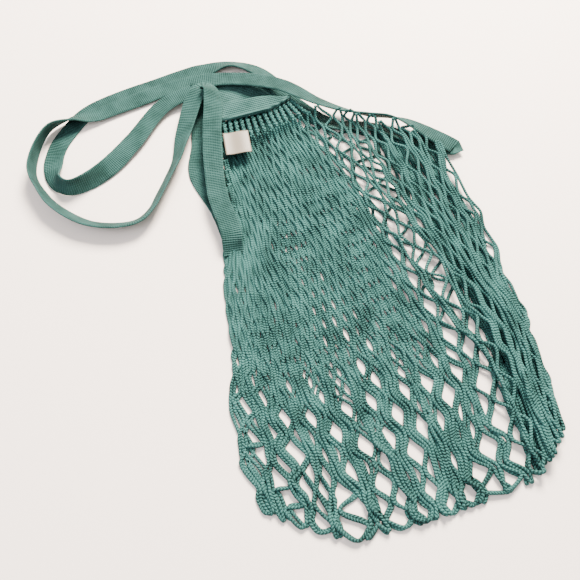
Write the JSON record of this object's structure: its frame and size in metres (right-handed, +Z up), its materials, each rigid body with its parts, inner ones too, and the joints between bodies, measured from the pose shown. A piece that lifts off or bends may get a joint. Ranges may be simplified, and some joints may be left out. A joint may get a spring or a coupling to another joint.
{
  "type": "string shopping bag",
  "caption": "String shopping bag of diamond net lying flat, with knitted mouth bands, a plain sewn label, and long knitted tape handles looped beside it.",
  "frame": {"origin": "on the table, under the middle of the front mouth band, on the flat underside of the net's back layer", "axes": "+X across the bag, to the right when the mouth points away; +Y from the net towards the mouth; +Z up, out of the front layer"},
  "size_m": [0.4394, 0.5588, 0.0347],
  "materials": {
    "net_cotton": "matt knotless net of cotton cord, blue-green",
    "tape_cotton": "matt fine-ribbed knitted cotton tape, blue-green",
    "band_cotton": "matt ribbed knitted cotton band, blue-green",
    "label_satin": "cream woven satin label, bare"
  },
  "bodies": {
    "root": {"net": "net_cotton", "front_band": "band_cotton", "back_band": "band_cotton", "front_strap": "tape_cotton", "back_strap": "tape_cotton", "label": "label_satin"}
  },
  "joints": []
}
